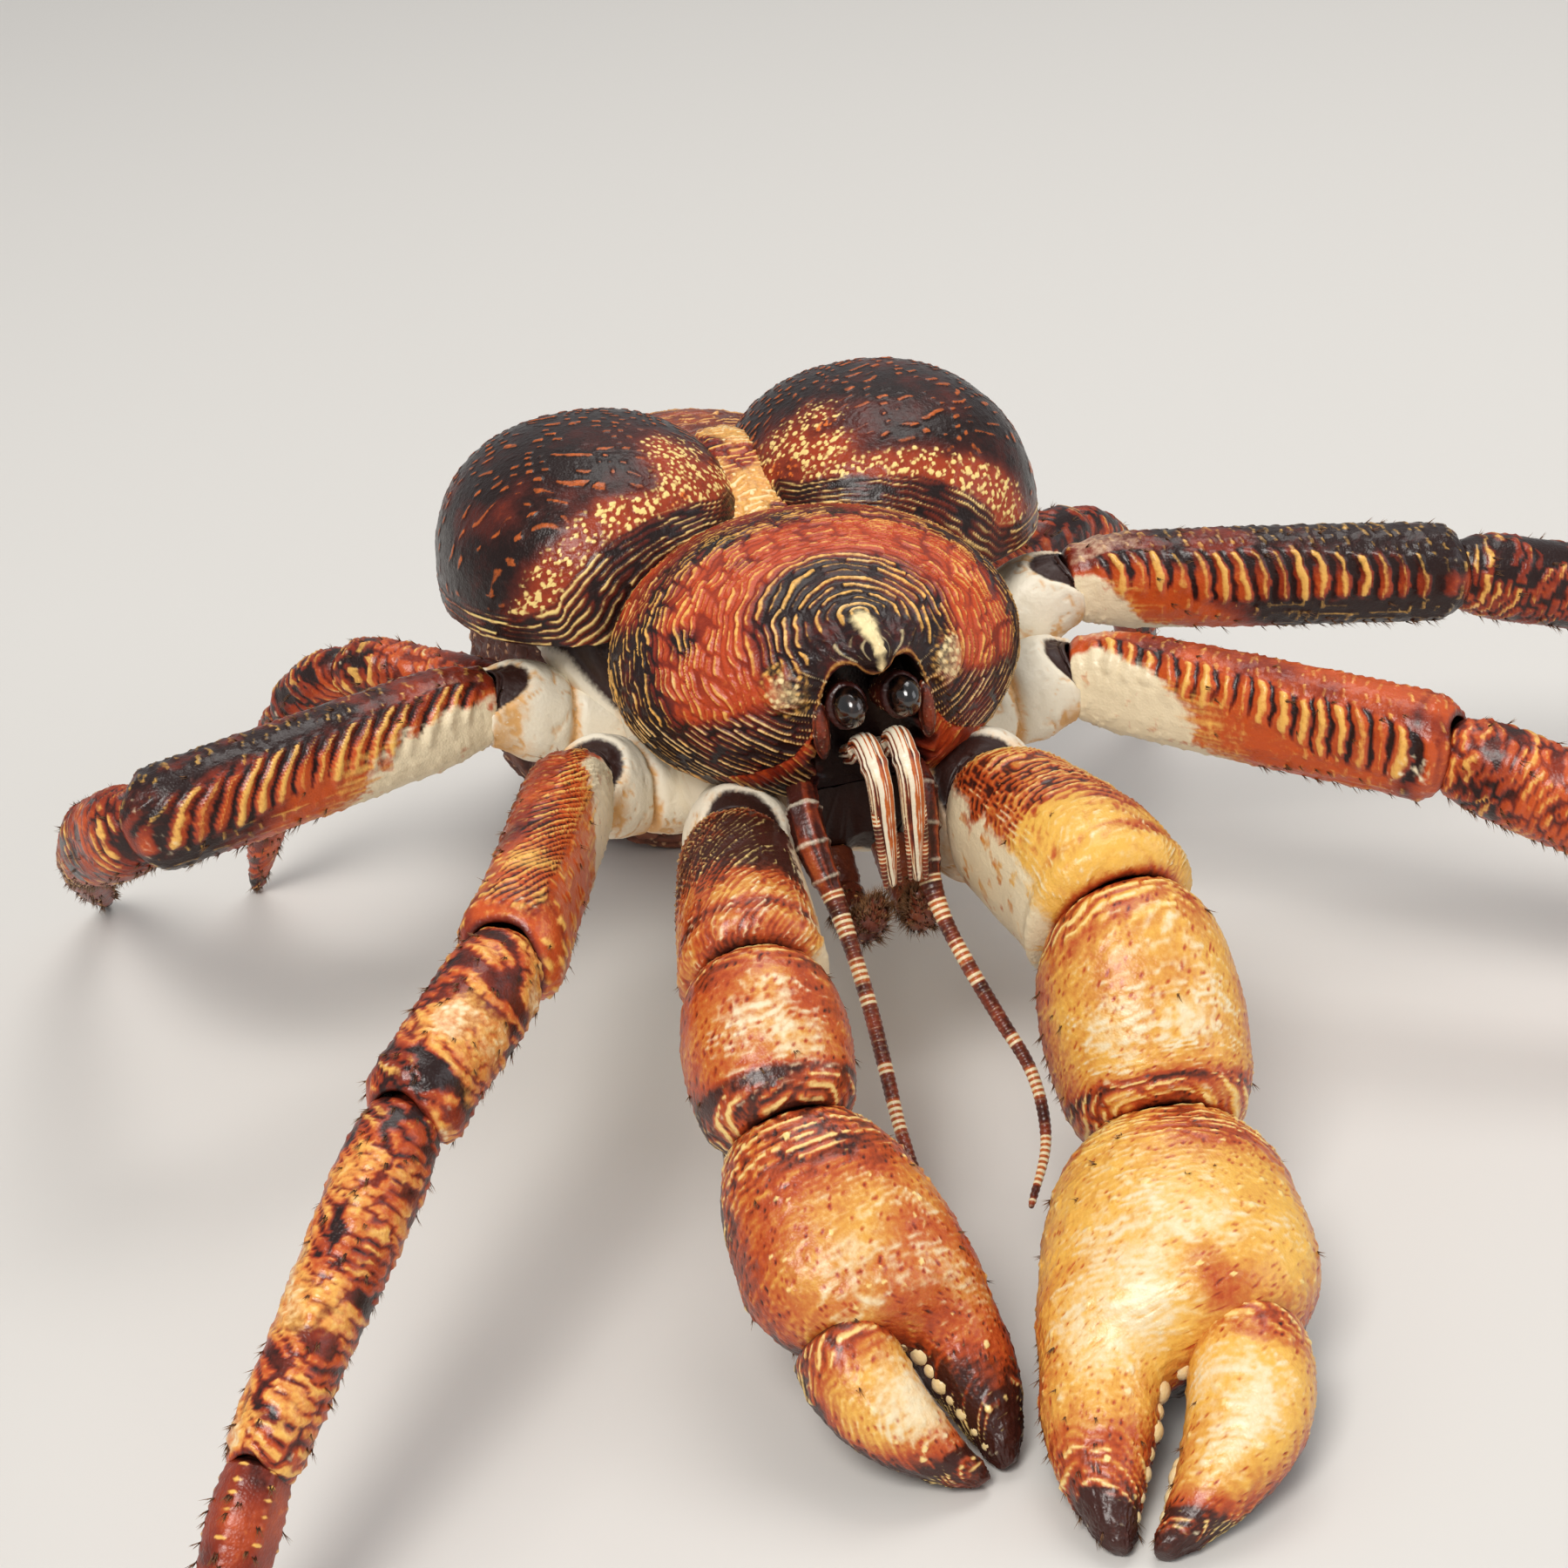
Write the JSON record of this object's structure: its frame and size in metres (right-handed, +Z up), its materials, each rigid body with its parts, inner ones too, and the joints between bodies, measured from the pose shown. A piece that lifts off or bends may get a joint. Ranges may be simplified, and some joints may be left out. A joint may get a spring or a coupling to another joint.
{
  "type": "coconut crab",
  "caption": "Life-size still model of a land hermit crab with a swollen ridged back, heavy claws, long walking legs and a soft curled abdomen.",
  "frame": {"origin": "centre of the bounding box at the level of the floor the crab stands on", "axes": "+Z up, -Y the way the crab faces, +X its own left"},
  "size_m": [0.459, 0.38, 0.1303],
  "materials": {
    "lobe_shell": "hard waxy shell, near black with short ochre dashes on its ridges",
    "head_shell": "hard waxy shell, dark red brown with pale wavy ridge lines",
    "leg_shell": "hard ridged shell, orange red with dark valleys and pale ridge bars",
    "claw_shell": "hard pitted shell, ochre yellow fading to red, with pale granules",
    "ivory_skin": "smooth ivory joint skin and leg bases",
    "eye_cornea": "glossy black facetted eye",
    "eyestalk_shell": "dark red shell with pale specks",
    "feeler": "orange and cream streaks and rings",
    "mouthpart": "dark brown shell with stiff hairs",
    "belly_skin": "soft wrinkled dark skin with fine granules",
    "back_plate": "hard granular plates, red brown with paler rims"
  },
  "bodies": {
    "root": {"shield": "head_shell", "cardiac": "lobe_shell", "branchial_left": "lobe_shell", "branchial_right": "lobe_shell", "trunk": "ivory_skin", "abdomen": "belly_skin", "tergite_1": "back_plate", "tergite_2": "back_plate", "tergite_3": "back_plate", "tergite_4": "back_plate", "tail_fan": "back_plate", "eyestalk_left": "eyestalk_shell", "eyestalk_right": "eyestalk_shell", "eye_left": "eye_cornea", "eye_right": "eye_cornea", "antennule_left": "feeler", "antennule_right": "feeler", "antenna_left": "feeler", "antenna_right": "feeler", "maxilliped_left": "mouthpart", "maxilliped_right": "mouthpart", "claw_left_base": "ivory_skin", "claw_left_merus": "claw_shell", "claw_left_carpus": "claw_shell", "claw_left_hand": "claw_shell", "claw_left_finger": "claw_shell", "claw_right_base": "ivory_skin", "claw_right_merus": "claw_shell", "claw_right_carpus": "claw_shell", "claw_right_hand": "claw_shell", "claw_right_finger": "claw_shell", "leg2_left_base": "ivory_skin", "leg2_left_merus": "leg_shell", "leg2_left_carpus": "leg_shell", "leg2_left_propodus": "leg_shell", "leg2_left_toe": "leg_shell", "leg2_right_base": "ivory_skin", "leg2_right_merus": "leg_shell", "leg2_right_carpus": "leg_shell", "leg2_right_propodus": "leg_shell", "leg2_right_toe": "leg_shell", "leg3_left_base": "ivory_skin", "leg3_left_merus": "leg_shell", "leg3_left_carpus": "leg_shell", "leg3_left_propodus": "leg_shell", "leg3_left_toe": "leg_shell", "leg3_right_base": "ivory_skin", "leg3_right_merus": "leg_shell", "leg3_right_carpus": "leg_shell", "leg3_right_propodus": "leg_shell", "leg3_right_toe": "leg_shell", "leg4_left_base": "ivory_skin", "leg4_left_merus": "leg_shell", "leg4_left_carpus": "leg_shell", "leg4_left_pincer": "leg_shell", "leg4_right_base": "ivory_skin", "leg4_right_merus": "leg_shell", "leg4_right_carpus": "leg_shell", "leg4_right_pincer": "leg_shell"}
  },
  "joints": []
}
